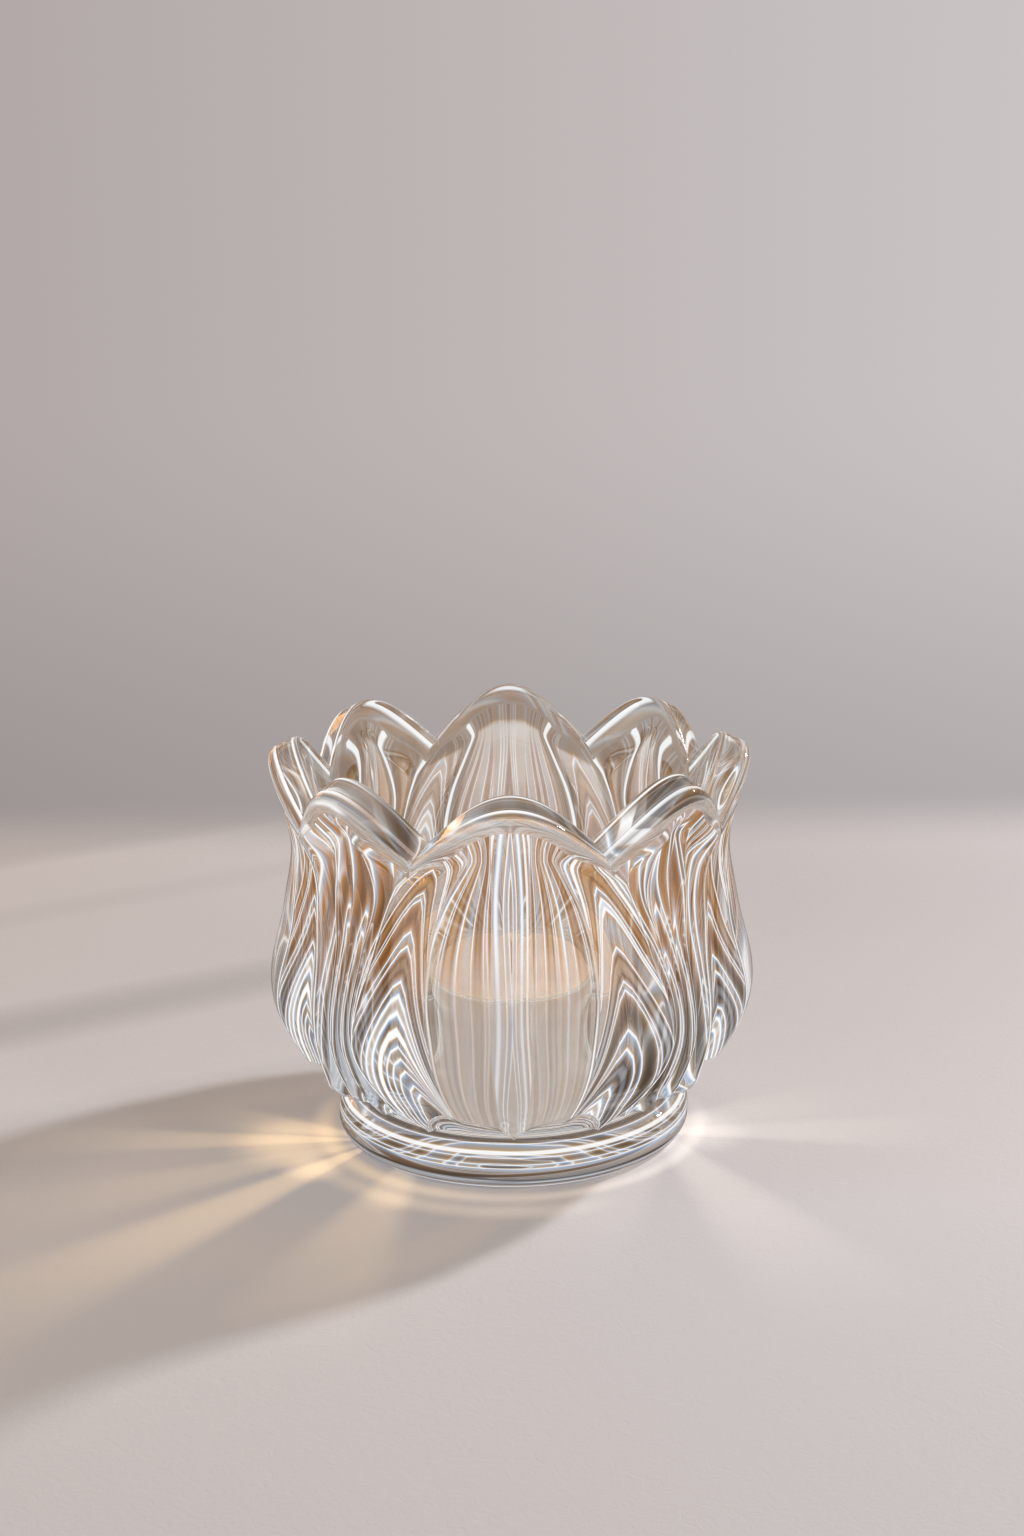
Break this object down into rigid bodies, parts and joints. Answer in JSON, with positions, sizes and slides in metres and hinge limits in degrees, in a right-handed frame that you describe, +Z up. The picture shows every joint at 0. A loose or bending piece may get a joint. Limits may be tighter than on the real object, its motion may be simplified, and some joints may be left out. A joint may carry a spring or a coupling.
{
  "type": "lotus candle holder",
  "caption": "Pressed crystal candle holder in the form of an open lotus, on a round foot, with a tealight standing in its cavity.",
  "frame": {"origin": "centre of the foot's standing ring, on the surface that the holder stands on", "axes": "+Z up along the holder's axis; -Y is the front, where one of the four front petals faces"},
  "size_m": [0.1006, 0.1006, 0.0844],
  "materials": {
    "crystal": "clear pressed lead-free crystal, fire polished",
    "clear_cup": "clear thermoformed polycarbonate",
    "wax": "ivory paraffin wax, poured, slightly translucent",
    "wick": "waxed braided cotton",
    "tinplate": "stamped tinplate"
  },
  "bodies": {
    "holder": {"glass_holder": "crystal"},
    "tealight": {"tealight_cup": "clear_cup", "tealight_wax": "wax", "tealight_wick": "wick", "wick_sustainer": "tinplate"}
  },
  "joints": [
    {"name": "tealight_lift", "type": "slide", "parent": "holder", "child": "tealight", "axis": [0, 0, 1], "range_m": [0, 0.08]}
  ]
}
